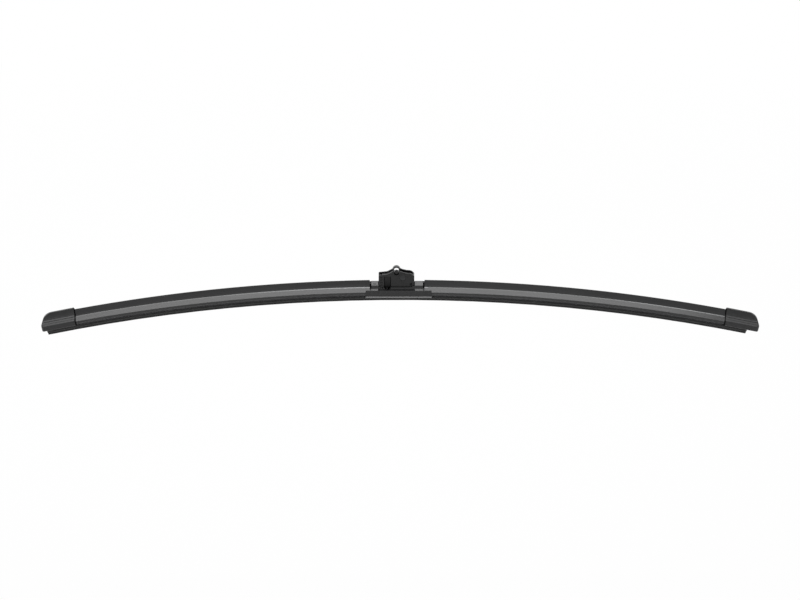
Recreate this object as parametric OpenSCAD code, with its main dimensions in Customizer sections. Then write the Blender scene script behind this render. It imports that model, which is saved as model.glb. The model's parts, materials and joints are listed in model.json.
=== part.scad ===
// Flat wiper blade with an air spoiler, as it lies free, bowed and off the glass.
// X runs along the blade, Y is its depth with the rear at +Y, and Z is up.
// The origin is the middle of the eye that takes the arm's pin.
// Heights in this file are measured from the wiping lip at the middle of the blade.

/* [Blade] */
// Length along the bow, from cap tip to cap tip
blade_len = 650; // [500:10:700]
// Radius of the free bow, at the wiping lip
bow_r = 1505; // [1300:5:2500]
// How far the middle of the blade lies to the right of the eye
blade_shift = 3.35; // [0:0.05:6]

/* [Spring rails] */
// Thickness of each rail
rail_t = 0.9; // [0.7:0.05:1.1]
// Width of each rail
rail_w = 4.6; // [4.2:0.1:5]
// Gap between the two rails, which the rubber's web fills
rail_gap = 1.8; // [1.4:0.1:2.2]
// Height of the underside of the rails above the lip
rail_h = 8.4; // [8:0.1:8.7]
// How far each rail stops short of the cap's tip
rail_stop = 4; // [3:0.5:6]
// Width of the notch near each rail's end, for the cap's latch
notch_w = 3; // [2:0.5:4]
// Depth of that notch
notch_deep = 0.8; // [0.6:0.1:1.2]
// Play of the rails in the rubber and under the claws
slide = 0.05; // [0.03:0.01:0.1]

/* [Rubber] */
// Width of the wiping lip at its edge
lip_w = 0.7; // [0.5:0.1:0.9]
// Height of the thin part of the lip
lip_h = 1.6; // [1.2:0.1:2]
// Width over the shoulders
shoulder_w = 5.2; // [4.4:0.1:5.6]
// Height at which the shoulders start
shoulder_h = 3.4; // [3:0.1:3.8]
// Height of the shoulders' flat side
shoulder_side = 0.9; // [0.6:0.1:1.1]
// Width of the neck on which the lip tips over
neck_w = 1; // [0.8:0.1:1.4]
// Thickness of the flange under the rails
flange_t = 1.1; // [0.8:0.1:1.3]
// How far that flange reaches under each rail
flange_lap = 2.3; // [1.6:0.1:2.6]
// Thickness of the head over the rails
head_t = 1; // [0.8:0.1:1.2]
// How far the head laps over each rail
head_lap = 0.7; // [0.5:0.05:0.8]
// How far the rubber stops short of the left cap's tip
rubber_stop_left = 3.8; // [3.2:0.2:6]
// How far it stops short of the right cap's tip
rubber_stop_right = 9.8; // [8:0.2:12]

/* [Spoiler] */
// Thickness of the claws beside and under the rails
claw_t = 0.9; // [0.7:0.05:1.1]
// Play beside the rails
claw_play = 0.1; // [0.05:0.05:0.2]
// How far the claws reach under the rails
claw_lap = 1.4; // [1:0.1:1.6]
// How far the bead along the claws stands out
bead = 0.3; // [0.2:0.05:0.35]
// Thickness of the spoiler over the rails, at its sides
side_t = 0.7; // [0.6:0.1:1]
// Height of the crease between the lower slope and the fin
crease_h = 13.05; // [12.6:0.05:13.6]
// Depth at which the crease lies
crease_d = -1; // [-1.6:0.1:-0.4]
// Width of the flatter ridge in front of the crease
ridge_w = 0.9; // [0.6:0.1:1.2]
// Height of the fin's tip
fin_h = 17.95; // [17:0.05:20]
// Depth of the front of the fin's tip
fin_d = 3.3; // [2.8:0.1:3.6]
// Thickness of the fin at its tip
fin_t = 0.6; // [0.5:0.1:0.8]
// Hollow of the fin's front face, against a straight line
fin_sag = 0.15; // [0.05:0.05:0.3]
// Wall of the hollow fin
skin = 0.9; // [0.8:0.05:1]
// Distance from the eye to the inner end of the left spoiler
spoiler_start_left = 23.8; // [23.6:0.1:24.6]
// Distance from the eye to the inner end of the right spoiler
spoiler_start_right = 25; // [24.6:0.1:26]
// How far each spoiler stops short of the cap's tip
spoiler_stop = 13; // [12:0.5:16]

/* [End caps] */
// Length of a cap
cap_len = 32; // [28:0.5:36]
// Wall of a cap
cap_wall = 0.75; // [0.7:0.05:1]
// Floor of a cap under the claws
cap_floor = 1.1; // [0.9:0.05:1.2]
// Play between a cap and the spoiler
cap_fit = 0.15; // [0.14:0.01:0.2]
// Radius of the round at the cap's end, seen from the front
cap_round = 11; // [10:0.5:11.5]
// Radius of the cap's corners, seen from above
cap_corner = 4; // [3:0.5:5]
// How much higher the cap's crease lies than the spoiler's
cap_crease_up = 1; // [0.9:0.1:1.6]
// Width of the upper groove along the cap's slope
groove_w = 0.6; // [0.4:0.1:0.8]
// Depth of that groove
groove_deep = 0.3; // [0.2:0.05:0.35]
// Bevel round the mouth of a cap
mouth_bevel = 0.8; // [0.5:0.1:0.9]

/* [Base] */
// Thickness of the base bracket's steel
bracket_t = 1.1; // [0.9:0.05:1.2]
// Thickness of the bracket's flanges on the rails
seat_t = 0.8; // [0.7:0.05:0.9]
// Length of each crimped claw
crimp_len = 5.6; // [4:0.1:5.8]
// How far the crimped claws reach under the rails
crimp_lap = 1; // [0.8:0.1:1.4]
// Distance from the eye to the left end of the cover
cover_left = 27.5; // [27:0.1:30]
// Distance from the eye to the right end of the cover
cover_right = 31.4; // [30:0.1:34]
// Gap between a deck and the spoiler's end
deck_gap = 1.3; // [0.8:0.1:1.5]
// Play of the adapter between the decks
well_gap = 0.5; // [0.4:0.05:1]
// Height of the decks
deck_h = 16.15; // [15.6:0.05:16.3]
// Half the depth of the decks
deck_half = 6; // [5.6:0.1:6.2]
// Height of the step in front of the decks
step_h = 13.05; // [12.8:0.05:13.4]
// Height of the skirt's upper edge
skirt_h = 11.8; // [11.6:0.1:12.2]
// Height at which the skirt's flare starts
skirt_low = 6.3; // [6:0.1:6.6]
// Wall of the skirt
skirt_t = 0.7; // [0.6:0.05:0.9]
// How far the flare along the skirt's lower edge stands out
flare = 1.3; // [1:0.05:1.4]
// Height of that flare
flare_h = 0.95; // [0.8:0.05:1.05]
// Play between the skirt and the bracket's claws
skirt_play = 0.3; // [0.25:0.05:0.4]
// Wall of the decks
deck_t = 1.2; // [1:0.1:1.4]
// How far each deck's spigot reaches into the spoiler
spigot_len = 3; // [2:0.5:5]
// Play of the spigot in the spoiler
spigot_play = 0.2; // [0.15:0.05:0.3]
// Height of the cheeks beside the adapter
cheek_h = 14.2; // [13.6:0.1:14.6]
// Wall of the cheeks
cheek_t = 0.95; // [0.8:0.05:1]
// Gap between a cheek and the adapter
cheek_gap = 0.45; // [0.35:0.05:0.5]

/* [Adapter] */
// Radius of the eye that takes the arm's pin
eye_r = 2.4; // [2.38:0.01:2.6]
// Height of the eye's axis above the lip
eye_h = 29.2; // [29.1:0.1:30]
// Thickness of the arch over the eye
eye_wall = 1.1; // [0.8:0.1:1.4]
// Height of the side walls beside the eye
walls_h = 29.6; // [29.4:0.1:30]
// Length of the eye along the pin
eye_len = 4; // [3.4:0.1:4.6]
// Depth of the adapter over both walls
adapter_w = 8.4; // [8.2:0.1:9]
// Wall of the adapter
adapter_t = 1.1; // [0.9:0.05:1.15]
// Length of the adapter
adapter_len = 31.9; // [30.4:0.1:32]
// Height of the adapter's lower edge
adapter_low = 13.5; // [13.4:0.1:14]
// Distance from the eye to the pivot pin
pivot_x = 5.6; // [5.4:0.1:6]
// Height of the pivot pin
pivot_h = 22.8; // [22.4:0.1:23.2]
// Radius of the pivot pin
pivot_r = 2; // [1.6:0.1:2.1]
// Play of the adapter on the pin
pivot_play = 0.05; // [0.03:0.01:0.08]
// Radius of the pin's heads
pin_head_r = 2.5; // [2.4:0.05:2.6]
// Thickness of the pin's heads
pin_head_t = 0.4; // [0.3:0.05:0.45]
// Width of the flexible tongue in the front wall
tongue_w = 5; // [4:0.1:5.2]
// Distance from the eye to the middle of the tongue
tongue_x = 8; // [7.8:0.1:8.4]
// Width of the slots beside the tongue
tongue_slot = 0.5; // [0.4:0.05:0.6]
// Height of the tongue's root
tongue_h = 23.8; // [22.8:0.1:24.4]
// How far the tongue leans in at its tip
tongue_lean = 1.1; // [0.6:0.1:1.3]

/* [Hidden] */

// Rails
rail_top = rail_h + rail_t;
rail_in = rail_gap / 2;
rail_out = rail_in + rail_w;
half_len = blade_len / 2;

// Rubber
flange_half = rail_in + flange_lap;
flange_low = rail_h - slide - flange_t;
head_half = rail_in + head_lap;
head_top = rail_top + slide + head_t;
shoulder_top = shoulder_h + shoulder_side;

// Spoiler
claw_in = rail_out + claw_play;
side_d = claw_in + claw_t;
claw_low = rail_h - slide - claw_t - 0.05;
claw_edge = claw_in - claw_lap;
side_top = rail_top + side_t;
ridge = [crease_d - ridge_w, crease_h - 0.27 * ridge_w];
fin_back = fin_d + fin_t;
head_play = 0.15;
channel_top = head_top + head_play;
hollow_low = channel_top + skin;

// Caps
cap_side = side_d + cap_fit + cap_wall;
cap_low = claw_low - cap_fit - cap_floor;
cap_top = fin_h + cap_fit + cap_wall + 0.4;
cap_side_top = side_top + 1;
cap_crease = [crease_d - 0.2, crease_h + cap_crease_up];
cap_slot = flange_half + 0.5;
cap_edge = 0.5;
latch_at = 18;

// Base
crimp_in = rail_out + claw_play;
crimp_out = crimp_in + 1;
crimp_low = rail_h - slide - 1;
seat_top = rail_top + slide + seat_t;
ear_in = head_half + head_play;
ear_out = ear_in + bracket_t;
hat_low = head_top + 0.1;
hat_top = hat_low + bracket_t;
skirt_in = crimp_out + skirt_play;
skirt_out = skirt_in + skirt_t;
deck_left = spoiler_start_left - deck_gap;
deck_right = spoiler_start_right - deck_gap;

// Adapter
wall_out = adapter_w / 2;
wall_in = wall_out - adapter_t;
end_x = adapter_len / 2;
well_half = end_x + well_gap;
cheek_in = wall_out + cheek_gap;
cheek_out = cheek_in + cheek_t;
ear_r = pivot_r + 0.9;
counterbore_r = pin_head_r + 0.2;
counterbore = pin_head_t + 0.15;
web_top = eye_h - 4.4;
web_t = 0.9;
tongue_half = tongue_w / 2 + tongue_slot;
tongue_low = adapter_low - 0.6;
relief = 0.25;
nose_r = 1.75;
nose_h = eye_h - 0.55;
notch_r = nose_r + 0.6;
notch_h = eye_h - 1.6;

// A circle this fine follows the bow within a tenth of a millimetre
bow_fn = 256;

// Angle round the bow for a length along the rails
function bow_angle(s) = s / (bow_r + rail_h) * 180 / PI;

// Points are written as depth and height, and a swept section wants height first
function swept(points) = [for (p = points) [p[1], p[0]]];

// The same points for the other side
function other_side(points) = [for (i = [len(points) - 1:-1:0]) [-points[i][0], points[i][1]]];

// Points from a to b that sag to the right of the straight line
function dish(a, b, sag, n) =
  let (v = b - a, l = norm(v), side = [v[1], -v[0]] / l)
  [for (i = [0:n]) a + v * i / n + side * 4 * sag * (i / n) * (1 - i / n)];

// Sweeps a section along the bow, between two lengths from the blade's middle
module along_bow(s0, s1) {
  translate([blade_shift, 0, -bow_r - eye_h])
    rotate([-90, 0, 0])
      rotate([0, 0, bow_angle(s0) - 90])
        rotate_extrude(angle = bow_angle(s1 - s0), $fn = bow_fn)
          translate([bow_r, 0])
            children();
}

// Puts a piece on the bow at a length from the blade's middle, with its heights from the lip
module on_bow(s) {
  translate([blade_shift, 0, -bow_r - eye_h])
    rotate([0, bow_angle(s), 0])
      translate([0, 0, bow_r])
        children();
}

// Stands a shape of X and height upright, centred on the depth
module upright(depth) {
  translate([0, 0, -eye_h])
    rotate([90, 0, 0])
      linear_extrude(depth, center = true)
        children();
}

// Runs a section of depth and height straight along X
module run(x0, x1) {
  translate([x0, 0, 0])
    rotate([90, 0, 90])
      linear_extrude(x1 - x0)
        children();
}

// The same at the base, with heights from the lip
module straight(x0, x1) {
  translate([0, 0, -eye_h])
    run(x0, x1)
      children();
}

// Wiping lip, shoulders, neck, flange, rail grooves and head
function rubber_half() = [
  [lip_w / 2, 0],
  [lip_w / 2 + 0.1, lip_h],
  [shoulder_w / 2, shoulder_h],
  [shoulder_w / 2, shoulder_top],
  [neck_w / 2, shoulder_top + 0.6],
  [neck_w / 2, flange_low - 0.2],
  [neck_w / 2 + 0.3, flange_low],
  [flange_half, flange_low],
  [flange_half, rail_h - slide],
  [rail_in - slide, rail_h - slide],
  [rail_in - slide, rail_top + slide],
  [head_half, rail_top + slide],
  [head_half, head_top - 0.3],
  [head_half - 0.3, head_top]
];

module wiper_rubber() {
  color("#26272a")
    difference() {
      along_bow(rubber_stop_left - half_len, half_len - rubber_stop_right)
        polygon(swept(concat(rubber_half(), other_side(rubber_half()))));
      // The right end is cut on a slant
      on_bow(half_len - rubber_stop_right)
        rotate([0, 20, 0])
          translate([0, -10, -6])
            cube([10, 20, 30]);
    }
}

// side is -1 for the front rail and 1 for the rear one
module spring_rail(side) {
  difference() {
    along_bow(rail_stop - half_len, half_len - rail_stop)
      polygon(swept([
        [side * rail_in, rail_h],
        [side * rail_out, rail_h],
        [side * rail_out, rail_top],
        [side * rail_in, rail_top]
      ]));
    for (end = [-1, 1])
      on_bow(end * (half_len - latch_at))
        translate([-notch_w / 2, side * rail_out - notch_deep, rail_h - 1])
          cube([notch_w, notch_deep * 2, rail_t + 2]);
  }
}

module spring_rail_front() {
  color("#6f7377") spring_rail(-1);
}

module spring_rail_rear() {
  color("#6f7377") spring_rail(1);
}

// Depth of the spoiler's rear face at a height
function rear_d(h) = fin_back + (fin_h - h) * (side_d - fin_back) / (fin_h - side_top);

// Depth of the lower front slope at a height
function slope_d(h) = -side_d + (h - side_top) * (ridge[0] + side_d) / (ridge[1] - side_top);

// Outside of the spoiler from the front claw over the fin to the rear claw, grown by g
function spoiler_over(g) = concat(
  [
    [-side_d - bead - g, claw_low - g],
    [-side_d - bead - g, claw_low + 0.55 + g * 0.4],
    [-side_d - g, claw_low + 0.55 + bead + g * 0.4],
    [-side_d - g, side_top + g * 0.6],
    ridge + g * [-0.36, 0.93],
    [crease_d, crease_h + g],
    [crease_d + 0.2, crease_h - 0.25 + g]
  ],
  dish([crease_d + 0.35, crease_h - 0.25 + g], [fin_d - g, fin_h + g], fin_sag, 4),
  [
    [fin_back + g, fin_h + g],
    [side_d + g, side_top + g * 0.6],
    [side_d + g, claw_low + 0.55 + bead + g * 0.4],
    [side_d + bead + g, claw_low + 0.55 + g * 0.4],
    [side_d + bead + g, claw_low - g]
  ]
);

// Claws and the seat on the rails and the rubber's head, from the rear to the front
function spoiler_under() =
  let (half = [
    [claw_edge, claw_low],
    [claw_edge, rail_h - slide],
    [claw_in, rail_h - slide],
    [claw_in, rail_top + slide],
    [head_half + head_play, rail_top + slide],
    [head_half + head_play, channel_top]
  ])
  concat(half, other_side(half));

// Hollow of the fin
function spoiler_hollow() =
  let (
    top = fin_h - 2.4,
    low_front = slope_d(hollow_low) + skin * 1.9,
    bend = [crease_d + 0.5 * skin, crease_h - 1.25 * skin]
  )
  concat(
    [[low_front, hollow_low]],
    dish(bend, [fin_d - 0.2, top], fin_sag, 4),
    [
      [rear_d(top) - skin * 1.05, top],
      [rear_d(hollow_low) - skin * 1.05, hollow_low]
    ]
  );

module spoiler(s0, s1) {
  along_bow(s0, s1)
    difference() {
      polygon(swept(concat(spoiler_over(0), spoiler_under())));
      polygon(swept(spoiler_hollow()));
    }
}

module spoiler_left() {
  color("#55585c")
    spoiler(spoiler_stop - half_len, -spoiler_start_left - blade_shift);
}

module spoiler_right() {
  color("#55585c")
    spoiler(spoiler_start_right - blade_shift, half_len - spoiler_stop);
}

// Groove of a width and depth that ends at a distance below the crease of the cap's front slope
function cap_groove(down, w, deep) =
  let (
    v = cap_crease - [-cap_side, cap_side_top],
    u = v / norm(v),
    inward = [u[1], -u[0]],
    top = cap_crease - u * down
  )
  [
    top - u * w,
    top - u * w + inward * deep,
    top + inward * deep,
    top
  ];

// Outside of a cap, with two fine grooves along its front slope
function cap_outside() = concat(
  [
    [-cap_side + cap_edge, cap_low],
    [-cap_side, cap_low + cap_edge],
    [-cap_side, cap_side_top]
  ],
  cap_groove(4.5, groove_w * 0.7, groove_deep / 2),
  cap_groove(1.8, groove_w, groove_deep),
  dish(cap_crease, [fin_d - 0.5, cap_top], 0.2, 4),
  [
    [fin_back + 1, cap_top],
    [cap_side, cap_side_top],
    [cap_side, cap_low + cap_edge],
    [cap_side - cap_edge, cap_low]
  ]
);

// Cuts a bevel of size c at the mouth of a cap, along the flat face from a to b
module mouth_cut(a, b, c, past_a, past_b) {
  u = b - a;
  translate([-cap_len, a[0], a[1]])
    rotate([atan2(u[1], u[0]), 0, 0])
      translate([0, -past_a, 0])
        rotate([-90, 0, 0])
          linear_extrude(norm(u) + past_a + past_b)
            polygon([[-1, c + 1], [c + 1, -1], [-1, -1]]);
}

// The bevel on all outer faces of the mouth
module mouth_cuts() {
  thin = cap_wall * 0.6;
  side_low = [-cap_side, cap_low];
  foot = [-cap_side, cap_side_top];
  tip = [fin_d - 0.5, cap_top];
  back = [fin_back + 1, cap_top];
  rear_foot = [cap_side, cap_side_top];
  mouth_cut(side_low, foot, thin, 0, 1);
  mouth_cut(foot, cap_crease, mouth_bevel, 1, 0);
  mouth_cut(cap_crease, tip, mouth_bevel, 0, 1);
  mouth_cut(tip, back, mouth_bevel, 1, 1);
  mouth_cut(back, rear_foot, mouth_bevel, 1, 1);
  mouth_cut(rear_foot, [cap_side, cap_low], thin, 1, 0);
}

// Right-hand cap, moulded straight; the left-hand one is its mirror image round the blade's middle.
// X is counted from the cap's tip here.
module end_cap(rubber_stop) {
  on_bow(half_len - cap_len / 2)
    translate([cap_len / 2, 0, 0])
      difference() {
        intersection() {
          run(-cap_len, 0)
            polygon(cap_outside());
          // Rounded end, seen from the front
          rotate([90, 0, 0])
            linear_extrude(60, center = true) {
              translate([-cap_len - 10, -5])
                square([cap_len + 10 - cap_round, 40]);
              translate([-cap_round - 1, -5])
                square([cap_round + 1, cap_top - cap_round + 5]);
              translate([-cap_round, cap_top - cap_round])
                circle(cap_round, $fn = 96);
            }
          // Rounded corners, seen from above
          translate([0, 0, -10])
            linear_extrude(50) {
              translate([-cap_len - 10, -20])
                square([cap_len + 10 - cap_corner, 40]);
              translate([-cap_corner - 1, cap_corner - cap_side])
                square([cap_corner + 1, 2 * (cap_side - cap_corner)]);
              for (side = [-1, 1])
                translate([-cap_corner, side * (cap_side - cap_corner)])
                  circle(cap_corner, $fn = 64);
            }
        }
        // Room for the spoiler
        run(-cap_len - 1, -spoiler_stop + 0.3)
          polygon(spoiler_over(cap_fit));
        // Room for the rails and the rubber's head
        run(-spoiler_stop, 0.3 - min(rail_stop, rubber_stop))
          polygon([
            [-claw_in, rail_h - cap_fit],
            [claw_in, rail_h - cap_fit],
            [claw_in, rail_top + cap_fit],
            [head_half + head_play, channel_top + cap_fit],
            [-head_half - head_play, channel_top + cap_fit],
            [-claw_in, rail_top + cap_fit]
          ]);
        // Slot for the rubber in the cap's underside
        run(-cap_len - 1, -rubber_stop + 0.5)
          polygon([
            [-cap_slot, cap_low - 1],
            [cap_slot, cap_low - 1],
            [cap_slot, rail_h],
            [-cap_slot, rail_h]
          ]);
        mouth_cuts();
      }
}

module end_cap_right() {
  color("#3c3e41") end_cap(rubber_stop_right);
}

module end_cap_left() {
  color("#3c3e41")
    translate([2 * blade_shift, 0, 0])
      mirror([1, 0, 0])
        end_cap(rubber_stop_left);
}

// Hat section: a flange on each rail, a wall beside each side of the rubber's head, and the top
function bracket_hat() =
  let (half = [
    [ear_in, hat_low],
    [ear_in, rail_top + slide],
    [crimp_in + 0.3, rail_top + slide],
    [crimp_in + 0.3, seat_top],
    [ear_out, seat_top],
    [ear_out, hat_top]
  ])
  concat(half, other_side(half));

// Claw crimped round the edge of one rail
function bracket_crimp() = [
  [crimp_in - crimp_lap, crimp_low],
  [crimp_out, crimp_low],
  [crimp_out, seat_top - 0.1],
  [crimp_in, seat_top - 0.1],
  [crimp_in, rail_h - slide],
  [crimp_in - crimp_lap, rail_h - slide]
];

module base_bracket() {
  left = 0.4 - deck_left - blade_shift;
  right = deck_right - 0.4 - blade_shift;
  color("#4b4e52") {
    // A window between the two end bridges leaves narrow lips along the walls
    difference() {
      along_bow(left, right)
        polygon(swept(bracket_hat()));
      translate([left + 9 + blade_shift, 0.4 - ear_in, hat_low - 1 - eye_h])
        cube([right - left - 18, 2 * (ear_in - 0.4), 4]);
      // Room for the tongue's tip when the adapter rocks
      translate([-tongue_x - 4.3, -ear_out - 0.5, seat_top + 0.1 - eye_h])
        cube([10, 2 * ear_out + 1, 4]);
    }
    for (span = [[left + 0.4, left + crimp_len], [right - crimp_len, right - 0.4]])
      along_bow(span[0], span[1]) {
        polygon(swept(bracket_crimp()));
        polygon(swept(other_side(bracket_crimp())));
      }
    for (side = [-1, 1])
      translate([0, side * (ear_in + ear_out) / 2, 0])
        upright(bracket_t - 0.1)
          bracket_ear();
  }
}

module bracket_ear() {
  foot = seat_top - 0.4;
  difference() {
    union() {
      translate([pivot_x, pivot_h])
        circle(ear_r, $fn = 96);
      polygon([
        [pivot_x - 6.5, foot],
        [pivot_x + 6.5, foot],
        [pivot_x + 6.5, foot + 1.4],
        [pivot_x + ear_r, foot + 5],
        [pivot_x + ear_r, pivot_h],
        [pivot_x - ear_r, pivot_h],
        [pivot_x - ear_r, foot + 5],
        [pivot_x - 6.5, foot + 1.4]
      ]);
    }
    translate([pivot_x, pivot_h])
      circle(pivot_r + 0.02, $fn = 96);
  }
}

// One side of the skirt, with its flared lower edge
function skirt_side() = [
  [skirt_in, skirt_low + 0.1],
  [skirt_in + flare - 0.2, skirt_low - flare_h + 0.05],
  [skirt_in + flare, skirt_low - flare_h],
  [skirt_out + flare, skirt_low - flare_h],
  [skirt_out, skirt_low],
  [skirt_out, skirt_h],
  [skirt_in, skirt_h]
];

// Shelf inside the skirt, under a cheek
function shelf_side() = [
  [cheek_in, skirt_h - 0.8],
  [skirt_in + 0.1, skirt_h - 0.8],
  [skirt_in + 0.1, skirt_h],
  [cheek_in, skirt_h]
];

// Outline of a cheek, as X and height: low in the middle and swept up to the decks
module cheek_outline() {
  rise = deck_h - cheek_h;
  reach = 6;
  sweep_r = (reach * reach + rise * rise) / (2 * rise);
  pocket_r = 1;
  pocket_floor = cheek_h - pocket_r - 0.05;
  difference() {
    translate([-well_half - 0.1, skirt_h - 0.4])
      square([2 * well_half + 0.2, deck_h - skirt_h + 0.4]);
    translate([-well_half + 1.2, cheek_h])
      square([2 * well_half - reach - 1.2, 10]);
    translate([well_half - reach, cheek_h + sweep_r])
      circle(sweep_r, $fn = 128);
    // Pocket for the adapter's left foot
    translate([-well_half + 0.5, pocket_floor + pocket_r])
      square([2.2 + 2 * pocket_r, 10]);
    translate([-well_half + 0.5 + pocket_r, pocket_floor])
      square([2.2, 2 * pocket_r]);
    for (x = [0.5 + pocket_r, 2.7 + pocket_r])
      translate([-well_half + x, pocket_floor + pocket_r])
        circle(pocket_r, $fn = 48);
  }
}

// Notch in the front cheek, round at its foot, for the tongue
module cheek_notch() {
  foot = skirt_h - 0.3;
  translate([-tongue_x, foot + tongue_half])
    circle(tongue_half, $fn = 64);
  translate([-tongue_x - tongue_half, foot + tongue_half])
    square([2 * tongue_half, 10]);
}

module cheek(side) {
  translate([0, side * (cheek_in + cheek_out) / 2, 0])
    upright(cheek_t)
      difference() {
        cheek_outline();
        if (side < 0) cheek_notch();
      }
}

// Outside of a deck above the skirt
function deck_outside() =
  let (half = [
    [skirt_in, skirt_low + 1],
    [skirt_out, skirt_low + 1],
    [skirt_out, skirt_h],
    [deck_half, step_h],
    [deck_half, deck_h - 0.3],
    [deck_half - 0.3, deck_h]
  ])
  concat(half, other_side(half));

// Room for the rails, the bracket and its bridge, right through a deck
function deck_passage() =
  let (half = [
    [skirt_in, skirt_low],
    [skirt_in, seat_top + 0.05],
    [ear_out + 0.2, seat_top + 0.05],
    [ear_out + 0.2, hat_top + 0.2]
  ])
  concat(half, other_side(half));

// Hollow between a deck's inner and outer wall
function deck_hollow() =
  let (half = [
    [skirt_in, skirt_low],
    [skirt_in, skirt_h - 0.4],
    [deck_half - deck_t, skirt_h + 0.2],
    [deck_half - deck_t, deck_h - deck_t]
  ])
  concat(half, other_side(half));

// Spigot that fits the hollow of the spoiler's fin, along its rear wall
function spigot() =
  let (
    low = hollow_low + spigot_play,
    top = fin_h - 2.6 - spigot_play,
    in = skin * 1.05 + spigot_play,
    plate = 0.8
  )
  [
    [rear_d(low) - in - plate, low],
    [rear_d(top) - in - plate, top],
    [rear_d(top) - in, top],
    [rear_d(low) - in, low]
  ];

// Lip that hooks behind the spoiler's rear face
function back_lip() =
  let (low = deck_h - 1.55, top = deck_h - 0.1)
  [
    [rear_d(low) + spigot_play, low],
    [rear_d(top) + spigot_play, top],
    [deck_half - 0.25, top],
    [deck_half, low]
  ];

// Spigot and lip at the outer end of a deck, between two lengths from the blade's middle
module deck_link(s0, s1) {
  along_bow(s0, s1)
    polygon(swept(spigot()));
  along_bow(s0 + (s0 < 0 ? spigot_len - 1.2 : 0), s1 - (s0 < 0 ? 0 : spigot_len - 1.2))
    polygon(swept(back_lip()));
}

module deck(x0, x1) {
  difference() {
    straight(x0, x1)
      polygon(deck_outside());
    straight(x0 - 1, x1 + 1)
      polygon(deck_passage());
    straight(x0 + deck_t, x1 - deck_t)
      polygon(deck_hollow());
  }
}

module base_cover() {
  color("#47494c")
    difference() {
      union() {
        straight(-cover_left, cover_right)
          polygon(skirt_side());
        straight(-cover_left, cover_right)
          polygon(other_side(skirt_side()));
        for (side = [-1, 1]) {
          straight(-well_half - 0.1, well_half + 0.1)
            polygon(side < 0 ? other_side(shelf_side()) : shelf_side());
          cheek(side);
        }
        deck(-deck_left, -well_half);
        deck(well_half, deck_right);
        deck_link(-spoiler_start_left - spigot_len - blade_shift, deck_t / 2 - deck_left - blade_shift);
        deck_link(deck_right - deck_t / 2 - blade_shift, spoiler_start_right + spigot_len - blade_shift);
        // Snap lips under the crimped claws
        for (span = [[1 - deck_left, -well_half - 1], [well_half + 1, deck_right - 1]])
          for (side = [-1, 1])
            straight(span[0], span[1])
              polygon([
                [side * (skirt_in + 0.2), crimp_low - 0.35],
                [side * (skirt_in - 0.9), crimp_low - 0.35],
                [side * (skirt_in - 0.9), crimp_low - 0.65],
                [side * (skirt_in + 0.2), crimp_low - 1.1]
              ]);
      }
      // Small slot in the left deck, undercut to the rear
      translate([-deck_left + 1.7, -2.8, deck_h - deck_t - 0.2 - eye_h])
        cube([2.4, 1.4, 3]);
      translate([-deck_left + 1.7, -2.8, deck_h - deck_t - 0.2 - eye_h])
        cube([2.4, 4, deck_t - 0.3]);
    }
}

module pivot_pin() {
  color("#8a8d91")
    translate([pivot_x, 0, pivot_h - eye_h])
      rotate([90, 0, 0]) {
        cylinder(r = pivot_r, h = 2 * (wall_out - counterbore) + 0.2, center = true, $fn = 96);
        for (side = [-1, 1])
          translate([0, 0, side * (wall_out - counterbore + 0.05 + pin_head_t / 2)])
            cylinder(r = pin_head_r, h = pin_head_t, center = true, $fn = 96);
      }
}

// Outline of the adapter's side walls, as X and height, without the eye
module adapter_outline() {
  round_left = 3.2;
  round_right = 4;
  low = adapter_low;
  polygon([
    [-end_x, low + round_left],
    [-end_x, walls_h - 4.8],
    [-end_x + 0.6, walls_h - 4.25],
    [-8.5, walls_h - 3.5],
    [-7, walls_h - 2.8],
    [-5, walls_h - 1.75],
    [-3.5, walls_h - 0.8],
    [-3.3, walls_h],
    [3.3, walls_h],
    [3.5, walls_h - 0.5],
    [5.4, walls_h - 1.4],
    [9.2, walls_h - 2.3],
    [end_x - 4, walls_h - 2.5],
    [end_x - 2.6, walls_h - 2.9],
    [end_x - 0.6, walls_h - 4.4],
    [end_x, walls_h - 5.4],
    [end_x, low + round_right],
    [end_x - round_right, low],
    [-end_x + round_left, low]
  ]);
  translate([-end_x + round_left, low + round_left])
    circle(round_left, $fn = 64);
  translate([end_x - round_right, low + round_right])
    circle(round_right, $fn = 64);
}

// Flexible tongue, leaning in from its root, with a round tip
module tongue() {
  length = tongue_h - tongue_low;
  half = tongue_w / 2;
  translate([-tongue_x, 0.15 - wall_out, tongue_h - eye_h])
    rotate([atan2(tongue_lean, length), 0, 0])
      translate([0, 0.9, 0])
        rotate([90, 0, 0])
          linear_extrude(0.9) {
            translate([-half, half - length])
              square([tongue_w, length - half + 0.5]);
            translate([0, half - length])
              circle(half, $fn = 64);
          }
}

// Notch round the nose, open to the top
module nose_notch() {
  translate([0, notch_h])
    circle(notch_r, $fn = 96);
  translate([-notch_r, notch_h])
    square([2 * notch_r, 10]);
}

// Side wall: the rear one lets the arm's pin in, the front one has the tongue and the nose's notch
module adapter_wall(side) {
  translate([0, side * (wall_in + wall_out) / 2, 0])
    upright(adapter_t)
      difference() {
        adapter_outline();
        if (side < 0) {
          nose_notch();
          translate([-tongue_x - tongue_half, adapter_low - 1])
            square([2 * tongue_half, tongue_h - adapter_low + 1]);
        } else {
          translate([0, eye_h])
            circle(eye_r + 0.2, $fn = 96);
        }
      }
}

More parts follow.
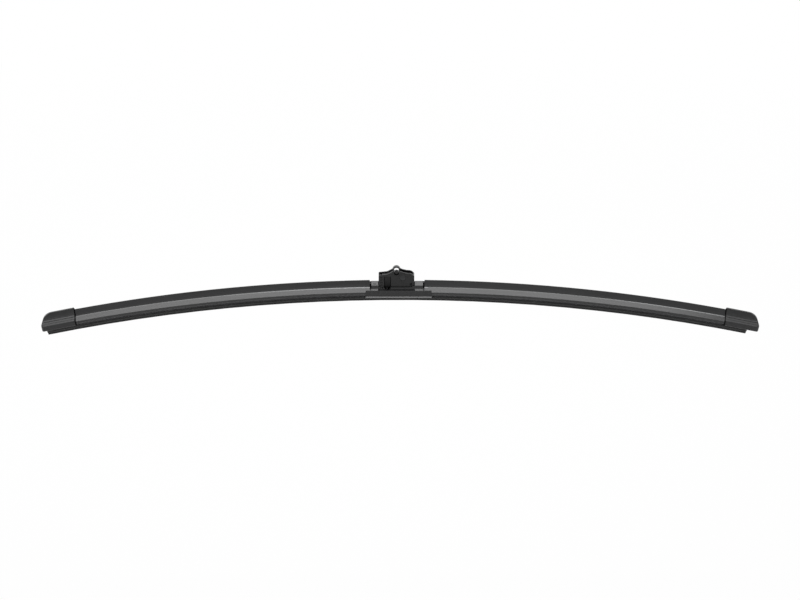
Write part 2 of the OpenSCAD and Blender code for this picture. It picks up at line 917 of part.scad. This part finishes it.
// End walls and webs that tie the walls together
module adapter_webs() {
  inner = 2 * wall_in + 0.2;
  upright(inner)
    intersection() {
      adapter_outline();
      union() {
        translate([-end_x, adapter_low + 3])
          square([adapter_t, walls_h - 5.6 - adapter_low - 3]);
        translate([end_x - adapter_t, adapter_low + 4])
          square([adapter_t, 20]);
      }
    }
  upright(inner) {
    translate([-end_x + 3.2, web_top - web_t])
      square([end_x - 3.2 - 3, web_t]);
    translate([end_x - 3, walls_h - 5.4 - web_t])
      square([3, web_t]);
    // Raised web to the left of the eye, under the walls' slope
    polygon([
      [-end_x + 4.6, web_top - 0.3],
      [-end_x + 4.6, walls_h - 5],
      [-8.5, walls_h - 4.7],
      [-7, walls_h - 4],
      [-5, walls_h - 2.95],
      [-3, walls_h - 1.9],
      [-3, web_top - 0.3]
    ]);
    // Core under the eye
    translate([-3.4, web_top - web_t])
      square([5.2, eye_h - eye_r - 0.6 - web_top + web_t]);
  }
}

// Nose that stops the arm's pin in front of the eye, on a narrow stem in the notch
module nose() {
  front = wall_out + relief;
  stem = 0.6;
  translate([0, -(front + wall_in) / 2, 0])
    upright(front - wall_in)
      translate([0, nose_h])
        circle(nose_r, $fn = 96);
  translate([0, -wall_in - stem / 2, 0])
    upright(stem)
      translate([-0.8, notch_h - notch_r - 0.4])
        square([1.6, notch_r + 0.4]);
}

// Raises a shape from the outside of one wall
module wall_relief(side, out) {
  translate([0, side * (wall_out + out / 2 - 0.2), 0])
    upright(out + 0.4)
      children();
}

module adapter() {
  small_hole = [end_x - 2.8, adapter_low + 3.2];
  color("#37393c") {
    difference() {
      union() {
        for (side = [-1, 1])
          adapter_wall(side);
        adapter_webs();
        tongue();
        // Arch with the eye
        upright(eye_len) {
          translate([0, eye_h])
            circle(eye_r + eye_wall, $fn = 96);
          translate([-eye_r - eye_wall, web_top])
            square([2 * (eye_r + eye_wall) - 1.6, eye_h - web_top]);
        }
        // Bosses round the pivot pin
        for (side = [-1, 1])
          translate([0, side * (ear_out + 0.1 + wall_out) / 2, 0])
            upright(wall_out - ear_out - 0.1)
              translate([pivot_x, pivot_h])
                circle(pin_head_r + 1, $fn = 96);
        // Rim round the pivot and a small disc beside it
        for (side = [-1, 1]) {
          wall_relief(side, relief)
            translate([pivot_x, pivot_h])
              circle(pin_head_r + 1.6, $fn = 96);
          wall_relief(side, relief)
            translate([end_x - 3.9, pivot_h])
              circle(1.7, $fn = 64);
        }
      }
      upright(eye_len)
        translate([0, eye_h])
          circle(eye_r, $fn = 96);
      translate([0, wall_out / 2 + 1, 0])
        upright(wall_out + 1)
          translate([0, eye_h])
            circle(eye_r, $fn = 96);
      upright(adapter_w + 2)
        translate([pivot_x, pivot_h])
          circle(pivot_r + pivot_play, $fn = 96);
      for (side = [-1, 1]) {
        translate([0, side * (wall_out - counterbore / 2 + 0.5), 0])
          upright(counterbore + 1)
            translate([pivot_x, pivot_h])
              circle(counterbore_r, $fn = 96);
        // Recess near the right end, and grip grooves at the left end
        translate([0, side * (wall_out + 0.1), 0])
          upright(1.2) {
            translate(small_hole)
              circle(1.5, $fn = 64);
            for (i = [0:3])
              translate([-end_x + 0.9, adapter_low + 1.9 + i * 2.5])
                square([2.6, 0.7]);
          }
      }
      upright(adapter_w + 2)
        translate(small_hole)
          circle(0.8, $fn = 48);
      // The notch goes on behind the front wall, as far as the eye
      translate([0, -(wall_out + eye_len / 2) / 2 - 0.5, 0])
        upright(wall_out - eye_len / 2 + 1)
          nose_notch();
    }
    nose();
  }
}

wiper_rubber();
spring_rail_front();
spring_rail_rear();
spoiler_left();
spoiler_right();
end_cap_left();
end_cap_right();
base_bracket();
base_cover();
pivot_pin();
adapter();
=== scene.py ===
import json
import math

import bmesh
import bpy
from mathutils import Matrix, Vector

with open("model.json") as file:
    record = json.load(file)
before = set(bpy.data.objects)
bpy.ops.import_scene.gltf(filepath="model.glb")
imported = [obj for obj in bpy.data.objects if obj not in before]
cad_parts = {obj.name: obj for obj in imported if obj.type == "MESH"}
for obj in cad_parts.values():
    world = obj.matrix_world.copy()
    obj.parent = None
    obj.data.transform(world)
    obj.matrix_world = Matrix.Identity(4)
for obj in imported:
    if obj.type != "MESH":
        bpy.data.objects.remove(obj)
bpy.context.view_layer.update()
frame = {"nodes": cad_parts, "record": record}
nodes = frame["nodes"]

# Lengths are in metres. The row frame's origin is the middle of the adapter's eye, EYE_H above the lip.
# +X runs along the blade, +Y to the rear and +Z up. The blade follows a bow, an arc whose radius is taken at
# the lip, with its centre at BOW_X and BOW_Z.
BOW_R = 1.505
EYE_H = 0.0292
BOW_X = 0.00335
BOW_Z = -BOW_R - EYE_H

# The caps: their length, and the angle on the bow of each one's middle. The blade's length is counted along
# the rails, which lie RAIL_H above the lip.
CAP_LEN = 0.032
HALF_BLADE = 0.325
RAIL_H = 0.0084
CAP_ANGLE = (HALF_BLADE - CAP_LEN / 2) / (BOW_R + RAIL_H)

# Heights above the lip: the rubber's shoulders, the bead along the claws, and the crest of the slope
SHOULDER_TOP = 0.0043
CLAW_BEAD_TOP = 0.0083
CREST = 0.01284

# The painted highlight along the crest: half its width, and where it is brightest, in lengths along the bow
# from the bow's middle. The painted highlight gets brighter toward the cover on the left, stays bright for 3
# mm on the cover's right, and gets brighter once more toward the right cap.
CREST_HIGHLIGHT_HALF = 0.00014
BRIGHTER_LEFT = (-0.17, -0.07)
BRIGHT_END = 0.0245
BRIGHTER_RIGHT = (0.16, 0.25)

# Painted shade in the seams at the caps' mouths, each as the two places between which it fades in, counted
# into
# the cap: on the spoilers from just outside the mouth, and on the cap just inside it
MOUTH_SHADE_OUTSIDE = (-0.0004, -0.0003)
MOUTH_SHADE_INSIDE = (0.0008, 0.0006)

# Places in the row frame, as two corners, where shade is painted: the pit under the adapter's nose, and the
# adapter's tongue. Between two heights, from the tongue's foot upward, its painted shade falls.
PIT = ((-0.0025, -0.0041, -0.0046), (0.0025, -0.002, -0.0022))
TONGUE = ((-0.0111, -0.005, -0.0157), (-0.0049, -0.0026, -0.0054))
TONGUE_HEIGHTS = (-0.0157, -0.0075)
TONGUE_SHADES = (0.7, 0.35)

# The gaps between the cover's decks and the spoilers, where shade is painted, as places along X, and the
# height in the row frame at which they begin, just under the crest
DECK_GAPS = ((-0.0239, -0.0224), (0.0236, 0.0251))
DECK_GAP_LOW = CREST - EYE_H - 0.0006

# Height in the row frame at which the cover's skirt flares out, and below which a highlight is painted
SKIRT_LOW = 0.0063 - EYE_H

# The width over which a mask given by a place fades out, and a place beyond every end of the part
SOFT = 0.0001
FAR = 1

# Noise seldom leaves the range between these two
NOISE_LOW = 0.3
NOISE_HIGH = 0.7

PLASTIC_IOR = 1.5
BEVEL_SAMPLES = 6
WHITE = (1, 1, 1, 1)

# Painted shade: its grey, and the specular level of an unshaded and of a fully shaded surface
SHADE_GREY = 0.003
UNSHADED_GLOSS = 0.5
SHADED_GLOSS = 0.1


def grey(value):
    """A very slightly cool grey."""
    return (value, value * 1.01, value * 1.03, 1)


def empty_tree(owner):
    """The node tree of a material or of the world, with no nodes in it."""
    owner.use_nodes = True
    tree = owner.node_tree
    tree.nodes.clear()
    return tree


def new_material(name):
    material = bpy.data.materials.new(name)
    tree = empty_tree(material)
    out = tree.nodes.new("ShaderNodeOutputMaterial")
    shader = tree.nodes.new("ShaderNodeBsdfPrincipled")
    tree.links.new(shader.outputs["BSDF"], out.inputs["Surface"])
    return material, tree, shader


def math_node(tree, operation, *values):
    """A math node. Each value is a number or the output of another node."""
    node = tree.nodes.new("ShaderNodeMath")
    node.operation = operation
    for value, socket in zip(values, node.inputs):
        if isinstance(value, (int, float)):
            socket.default_value = value
        else:
            tree.links.new(value, socket)
    return node.outputs[0]


def place(tree):
    """Object coordinates. A piece's own are the row frame's at rest, and they move with the piece."""
    return tree.nodes.new("ShaderNodeTexCoord").outputs["Object"]


def split(tree, vector):
    """The three parts of a vector."""
    node = tree.nodes.new("ShaderNodeSeparateXYZ")
    tree.links.new(vector, node.inputs[0])
    return tuple(node.outputs)


def bow_place(tree):
    """Coordinates that follow the bow: length along it, depth, and height above the lip."""
    place_x, depth, place_z = split(tree, place(tree))
    x = math_node(tree, "SUBTRACT", place_x, BOW_X)
    z = math_node(tree, "SUBTRACT", place_z, BOW_Z)
    squares = math_node(tree, "ADD", math_node(tree, "MULTIPLY", x, x), math_node(tree, "MULTIPLY", z, z))
    height = math_node(tree, "SUBTRACT", math_node(tree, "SQRT", squares), BOW_R)
    length = math_node(tree, "MULTIPLY", math_node(tree, "ARCTAN2", x, z), BOW_R)
    joined = tree.nodes.new("ShaderNodeCombineXYZ")
    for value, socket in zip((length, depth, height), joined.inputs):
        tree.links.new(value, socket)
    return joined.outputs[0]


def into_cap(tree):
    """How far a point lies inside the nearer cap, counted from the cap's mouth along the cap."""
    place_x, _, place_z = split(tree, place(tree))
    x = math_node(tree, "ABSOLUTE", math_node(tree, "SUBTRACT", place_x, BOW_X))
    z = math_node(tree, "SUBTRACT", place_z, BOW_Z)
    along_x = math_node(tree, "MULTIPLY", x, math.cos(CAP_ANGLE))
    along_z = math_node(tree, "MULTIPLY", z, math.sin(CAP_ANGLE))
    return math_node(tree, "ADD", math_node(tree, "SUBTRACT", along_x, along_z), CAP_LEN / 2)


def stretched_noise(tree, where, scale, detail, rough=0.55):
    """Noise with its own scale, per metre, along each of the three coordinates."""
    mapping = tree.nodes.new("ShaderNodeMapping")
    mapping.inputs["Scale"].default_value = scale
    tree.links.new(where, mapping.inputs["Vector"])
    noise = tree.nodes.new("ShaderNodeTexNoise")
    noise.inputs["Scale"].default_value = 1.0
    noise.inputs["Detail"].default_value = detail
    noise.inputs["Roughness"].default_value = rough
    tree.links.new(mapping.outputs[0], noise.inputs["Vector"])
    return noise.outputs["Fac"]


def ramp(tree, value, to_start, to_end, start=NOISE_LOW, end=NOISE_HIGH):
    """to_start where value is at start, to_end where it is at end, and between them a straight ramp."""
    node = tree.nodes.new("ShaderNodeMapRange")
    node.inputs["From Min"].default_value = start
    node.inputs["From Max"].default_value = end
    node.inputs["To Min"].default_value = to_start
    node.inputs["To Max"].default_value = to_end
    tree.links.new(value, node.inputs["Value"])
    return node.outputs[0]


def fade(tree, value, start, end):
    """0 where value is at start or beyond, and 1 where it is at end or beyond. Either may be the larger."""
    return ramp(tree, value, 0.0, 1.0, start, end)


def inside_box(tree, low, high):
    """1 inside a box given by two corners, fading out over its outermost 0.1 mm."""
    inside = None
    for value, low_edge, high_edge in zip(split(tree, place(tree)), low, high):
        for edge, inner in ((low_edge, low_edge + SOFT), (high_edge, high_edge - SOFT)):
            side = fade(tree, value, edge, inner)
            inside = side if inside is None else math_node(tree, "MULTIPLY", inside, side)
    return inside


def tint(tree, value, dark, light):
    """A grey between dark and light, by a noise value."""
    node = tree.nodes.new("ShaderNodeValToRGB")
    stops = ((NOISE_LOW, dark), (NOISE_HIGH, light))
    for element, (position, value_of_grey) in zip(node.color_ramp.elements, stops):
        element.position = position
        element.color = grey(value_of_grey)
    tree.links.new(value, node.inputs[0])
    return node.outputs[0]


def mixed(tree, factor, first, second):
    node = tree.nodes.new("ShaderNodeMix")
    node.data_type = "RGBA"
    tree.links.new(factor, node.inputs["Factor"])
    tree.links.new(first, node.inputs["A"])
    tree.links.new(second, node.inputs["B"])
    return node.outputs["Result"]


def painted_shade(tree, shader, shade_mask, colour):
    """Painted shade: base colour and gloss, both all but gone where the shade mask is 1."""
    shade_grey_node = tree.nodes.new("ShaderNodeRGB")
    shade_grey_node.outputs[0].default_value = grey(SHADE_GREY)
    tree.links.new(mixed(tree, shade_mask, colour, shade_grey_node.outputs[0]), shader.inputs["Base Color"])
    gloss = ramp(tree, shade_mask, UNSHADED_GLOSS, SHADED_GLOSS, 0.0, 1.0)
    tree.links.new(gloss, shader.inputs["Specular IOR Level"])


def bump(tree, shader, heights, edge_radius=0.0):
    """heights is a list of (value, distance, strength). edge_radius rounds the look of sharp edges."""
    normal = None
    if edge_radius:
        soft_edge = tree.nodes.new("ShaderNodeBevel")
        soft_edge.samples = BEVEL_SAMPLES
        soft_edge.inputs["Radius"].default_value = edge_radius
        normal = soft_edge.outputs[0]
    for value, distance, strength in heights:
        node = tree.nodes.new("ShaderNodeBump")
        node.inputs["Distance"].default_value = distance
        node.inputs["Strength"].default_value = strength
        tree.links.new(value, node.inputs["Height"])
        if normal is not None:
            tree.links.new(normal, node.inputs["Normal"])
        normal = node.outputs[0]
    tree.links.new(normal, shader.inputs["Normal"])


def painted_crest_highlight(tree, where, cloud):
    """A mask for the painted highlight along the front side of the crest, and the highlight's colour."""
    length, depth, height = split(tree, where)
    on_crest = math_node(tree, "COMPARE", height, CREST, CREST_HIGHLIGHT_HALF)
    in_front = math_node(tree, "LESS_THAN", depth, 0.0)
    line = math_node(tree, "MULTIPLY", on_crest, in_front)
    patches = stretched_noise(tree, where, scale=(9, 90, 90), detail=2)
    faint_highlight = tint(tree, patches, dark=0.034, light=0.085)
    pale = tint(tree, cloud, dark=0.19, light=0.25)
    before_end = math_node(tree, "LESS_THAN", length, BRIGHT_END)
    near_cover = math_node(tree, "MULTIPLY", fade(tree, length, *BRIGHTER_LEFT), before_end)
    brighter_highlight = math_node(tree, "MAXIMUM", near_cover, fade(tree, length, *BRIGHTER_RIGHT))
    return line, mixed(tree, brighter_highlight, faint_highlight, pale)


def extruded_plastic(name, dark, light, rough):
    """Satin plastic with draw lines that follow the bow, a painted highlight on the crest and on the foot of
    the claws, and painted shade at the caps' mouths.
    """
    material, tree, shader = new_material(name)
    where = bow_place(tree)
    lines = stretched_noise(tree, where, scale=(1.5, 2600, 2600), detail=4)
    cloud = stretched_noise(tree, where, scale=(14, 160, 160), detail=3)
    grain = stretched_noise(tree, where, scale=(5200, 5200, 5200), detail=2)
    # Painted highlight: a paler line along the front of the crest
    crest_highlight, crest_highlight_colour = painted_crest_highlight(tree, where, cloud)
    skin = mixed(tree, crest_highlight, tint(tree, cloud, dark, light), crest_highlight_colour)
    _, _, height = split(tree, where)
    # Painted highlight: the bead and foot of the claws are painted paler
    bead_highlight_mask = fade(tree, height, CLAW_BEAD_TOP, CLAW_BEAD_TOP - 2 * SOFT)
    bead_highlight_grey = tint(tree, cloud, dark=0.05, light=0.06)
    # Painted shade on the spoilers just outside the caps' mouths
    mouth_shade = fade(tree, into_cap(tree), *MOUTH_SHADE_OUTSIDE)
    painted_shade(tree, shader, mouth_shade, mixed(tree, bead_highlight_mask, skin, bead_highlight_grey))
    tree.links.new(ramp(tree, lines, rough - 0.05, rough + 0.05), shader.inputs["Roughness"])
    shader.inputs["IOR"].default_value = PLASTIC_IOR
    bump(tree, shader, [(lines, 0.00002, 0.35), (grain, 0.00001, 0.3)])
    return material


def moulded_plastic(name, dark, light, rough, grain_size=0.00035, shade_mask=None, painted_highlight=None, edge_radius=0.0002):
    """Moulded plastic with the fine grain of an etched tool. Two optional functions give masks: one where
    shade is painted, and one where a highlight is painted.
    """
    material, tree, shader = new_material(name)
    where = place(tree)
    grain = stretched_noise(tree, where, scale=(1 / grain_size,) * 3, detail=3, rough=0.6)
    cloud = stretched_noise(tree, where, scale=(260, 260, 260), detail=4, rough=0.7)
    colour = tint(tree, cloud, dark, light)
    if painted_highlight:
        colour = mixed(tree, painted_highlight(tree), colour, tint(tree, cloud, dark=0.05, light=0.065))
    if shade_mask:
        painted_shade(tree, shader, shade_mask(tree), colour)
    else:
        tree.links.new(colour, shader.inputs["Base Color"])
    tree.links.new(ramp(tree, grain, rough - 0.04, rough + 0.06), shader.inputs["Roughness"])
    shader.inputs["IOR"].default_value = PLASTIC_IOR
    bump(tree, shader, [(cloud, 0.00003, 0.2), (grain, 0.000018, 0.6)], edge_radius)
    return material


def rubber(name):
    """Dark coated lip, and an upper part painted much paler, which stands in for the light that fills the
    recess under the claws.
    """
    material, tree, shader = new_material(name)
    where = bow_place(tree)
    lines = stretched_noise(tree, where, scale=(3, 3000, 3000), detail=3)
    mottle = stretched_noise(tree, where, scale=(90, 700, 700), detail=4, rough=0.65)
    _, _, height = split(tree, where)
    # Painted light: the upper part is painted pale, in place of fill light in the recess
    painted_light_mask = fade(tree, height, SHOULDER_TOP - SOFT, SHOULDER_TOP + 2 * SOFT)
    lip = tint(tree, mottle, dark=0.008, light=0.014)
    painted_light_grey = tint(tree, mottle, dark=0.16, light=0.21)
    tree.links.new(mixed(tree, painted_light_mask, lip, painted_light_grey), shader.inputs["Base Color"])
    tree.links.new(ramp(tree, mottle, 0.62, 0.8), shader.inputs["Roughness"])
    shader.inputs["IOR"].default_value = PLASTIC_IOR
    bump(tree, shader, [(lines, 0.00002, 0.4)])
    return material


def steel(name, dark, light, rough, rolled):
    """Dull steel. Rolled steel has lines that follow the bow, and other steel an even grain."""
    material, tree, shader = new_material(name)
    where = bow_place(tree) if rolled else place(tree)
    line_scale = (20, 4000, 4000) if rolled else (2500, 2500, 2500)
    lines = stretched_noise(tree, where, line_scale, detail=4)
    cloud = stretched_noise(tree, where, scale=(60, 200, 200), detail=3)
    tree.links.new(tint(tree, cloud, dark, light), shader.inputs["Base Color"])
    tree.links.new(ramp(tree, lines, rough - 0.08, rough + 0.08), shader.inputs["Roughness"])
    shader.inputs["Metallic"].default_value = 1.0
    bump(tree, shader, [(lines, 0.00001, 0.4)])
    return material


def cap_mouth_shade(tree):
    """Painted shade on the cap's rim, where the seam to the spoiler lies in the dark."""
    return fade(tree, into_cap(tree), *MOUTH_SHADE_INSIDE)


def adapter_painted_shade(tree):
    """Painted shade: the pit under the nose, and the tongue, painted darker down to its foot."""
    pit = inside_box(tree, *PIT)
    _, _, height = split(tree, place(tree))
    shade = ramp(tree, height, *TONGUE_SHADES, *TONGUE_HEIGHTS)
    tongue = math_node(tree, "MULTIPLY", inside_box(tree, *TONGUE), shade)
    return math_node(tree, "MAXIMUM", pit, tongue)


def deck_gap_shade(tree):
    """Painted shade in the narrow gaps between the decks and the spoilers, where the spigots lie in the dark.
    """
    left, right = (
        inside_box(tree, (low_x, -FAR, DECK_GAP_LOW), (high_x, FAR, FAR))
        for low_x, high_x in DECK_GAPS
    )
    return math_node(tree, "MAXIMUM", left, right)


def flare_highlight(tree):
    """A painted highlight on the foot of the skirt, which is painted paler."""
    _, _, height = split(tree, place(tree))
    return fade(tree, height, SKIRT_LOW, SKIRT_LOW - SOFT)


MATERIALS = {
    "spoiler_plastic": extruded_plastic("spoiler_plastic", dark=0.033, light=0.041, rough=0.26),
    "cap_plastic": moulded_plastic("cap_plastic", dark=0.019, light=0.026, rough=0.44, shade_mask=cap_mouth_shade),
    "cover_plastic": moulded_plastic(
        "cover_plastic", dark=0.022, light=0.029, rough=0.18,
        shade_mask=deck_gap_shade, painted_highlight=flare_highlight, edge_radius=0.0001,
    ),
    "adapter_plastic": moulded_plastic(
        "adapter_plastic", dark=0.005, light=0.013, rough=0.36, shade_mask=adapter_painted_shade,
    ),
    "wiper_rubber": rubber("wiper_rubber"),
    "spring_steel": steel("spring_steel", dark=0.30, light=0.38, rough=0.35, rolled=True),
    "coated_steel": moulded_plastic("coated_steel", dark=0.018, light=0.024, rough=0.35, grain_size=0.0005),
    "pin_steel": steel("pin_steel", dark=0.05, light=0.08, rough=0.4, rolled=False),
}

slots = {piece["node"]: piece["material_slot"] for piece in frame["record"]["subparts"]}
for name, obj in nodes.items():
    obj.data.materials.clear()
    obj.data.materials.append(MATERIALS[slots[name]])


# Camera: the photograph's view, from the front and a little above, through a long lens. It aims at a point
# just under the lip, at the middle of the blade.
ELEVATION = math.radians(22)
DISTANCE = 2.693
AIM = (0.00317, 0, -EYE_H - 0.00012)
SENSOR_MM = 36
LENS_MM = 135
CLIP_END = 100


def add_camera():
    back = Vector((0, -math.cos(ELEVATION), math.sin(ELEVATION)))
    data = bpy.data.cameras.new("camera")
    data.sensor_width = SENSOR_MM
    data.lens = LENS_MM
    data.clip_end = CLIP_END
    camera = bpy.data.objects.new("camera", data)
    camera.location = Vector(AIM) + back * DISTANCE
    camera.rotation_mode = "QUATERNION"
    camera.rotation_quaternion = (-back).to_track_quat("-Z", "Y")
    bpy.context.scene.collection.objects.link(camera)
    bpy.context.scene.camera = camera


def area_light(name, location, aim, size, radiance):
    """A softbox of one even brightness, which the camera doesn't see."""
    data = bpy.data.lights.new(name, "AREA")
    data.shape = "RECTANGLE"
    data.size, data.size_y = size
    data.energy = radiance * math.pi * size[0] * size[1]
    light = bpy.data.objects.new(name, data)
    light.location = location
    light.rotation_mode = "QUATERNION"
    light.rotation_quaternion = (Vector(aim) - Vector(location)).to_track_quat("-Z", "Y")
    light.visible_camera = False
    bpy.context.scene.collection.objects.link(light)


def camera_ray(tree):
    """1 for what the camera sees straight, and 0 for what lights the part or is mirrored in it."""
    return tree.nodes.new("ShaderNodeLightPath").outputs["Is Camera Ray"]


def mixed_shader(tree, factor, first, second):
    node = tree.nodes.new("ShaderNodeMixShader")
    for value, socket in zip((factor, first, second), node.inputs):
        tree.links.new(value, socket)
    return node.outputs[0]


def background(tree, strength):
    node = tree.nodes.new("ShaderNodeBackground")
    node.inputs["Color"].default_value = WHITE
    node.inputs["Strength"].default_value = strength
    return node.outputs[0]


# World: white for the camera, dim grey for the part
WORLD_FILL = 0.23


def add_world():
    world = bpy.data.worlds.new("studio")
    bpy.context.scene.world = world
    tree = empty_tree(world)
    out = tree.nodes.new("ShaderNodeOutputWorld")
    look = mixed_shader(tree, camera_ray(tree), background(tree, WORLD_FILL), background(tree, 1.0))
    tree.links.new(look, out.inputs["Surface"])


# Floor: pale, and well below the blade. For the camera it is nearly white at its middle, and between two
# distances from there it gets quite white.
FLOOR_Z = -0.35
FLOOR_HALF = 12
FLOOR_GREY = (0.8, 0.8, 0.8, 1)
NEARLY_WHITE = 0.93
WHITER = (1.0, 1.8)


def floor_material():
    material = bpy.data.materials.new("floor")
    tree = empty_tree(material)
    out = tree.nodes.new("ShaderNodeOutputMaterial")
    pale = tree.nodes.new("ShaderNodeBsdfDiffuse")
    pale.inputs["Color"].default_value = FLOOR_GREY
    glow = tree.nodes.new("ShaderNodeEmission")
    glow.inputs["Color"].default_value = WHITE
    from_middle = tree.nodes.new("ShaderNodeVectorMath")
    from_middle.operation = "LENGTH"
    tree.links.new(place(tree), from_middle.inputs[0])
    whiteness = ramp(tree, from_middle.outputs["Value"], NEARLY_WHITE, 1.0, *WHITER)
    factor = math_node(tree, "MULTIPLY", camera_ray(tree), whiteness)
    look = mixed_shader(tree, factor, pale.outputs[0], glow.outputs[0])
    tree.links.new(look, out.inputs["Surface"])
    return material


def add_floor():
    mesh = bpy.data.meshes.new("floor")
    grid = bmesh.new()
    bmesh.ops.create_grid(grid, x_segments=1, y_segments=1, size=FLOOR_HALF)
    grid.to_mesh(mesh)
    grid.free()
    mesh.materials.append(floor_material())
    floor = bpy.data.objects.new("floor", mesh)
    floor.location = (0, 0, FLOOR_Z)
    bpy.context.scene.collection.objects.link(floor)


add_camera()

# The spoilers' slopes mirror the top light toward the camera, and the cover's decks mirror the back light.
# The front light, low behind the camera, fills the recesses.
area_light("top", location=(-0.1, 0.58, 1.5), aim=(-0.1, 0.58, 0), size=(1.9, 2.0), radiance=3.35)
area_light("back", location=(0, 2.6, 0.45), aim=(0, 0, 0.45), size=(6.0, 1.5), radiance=1.1)
area_light("front", location=(0, -3.5, 0.5), aim=(0, 0, 0.1), size=(5.0, 1.2), radiance=1.6)

add_world()
add_floor()

bpy.context.scene.view_settings.view_transform = "Standard"
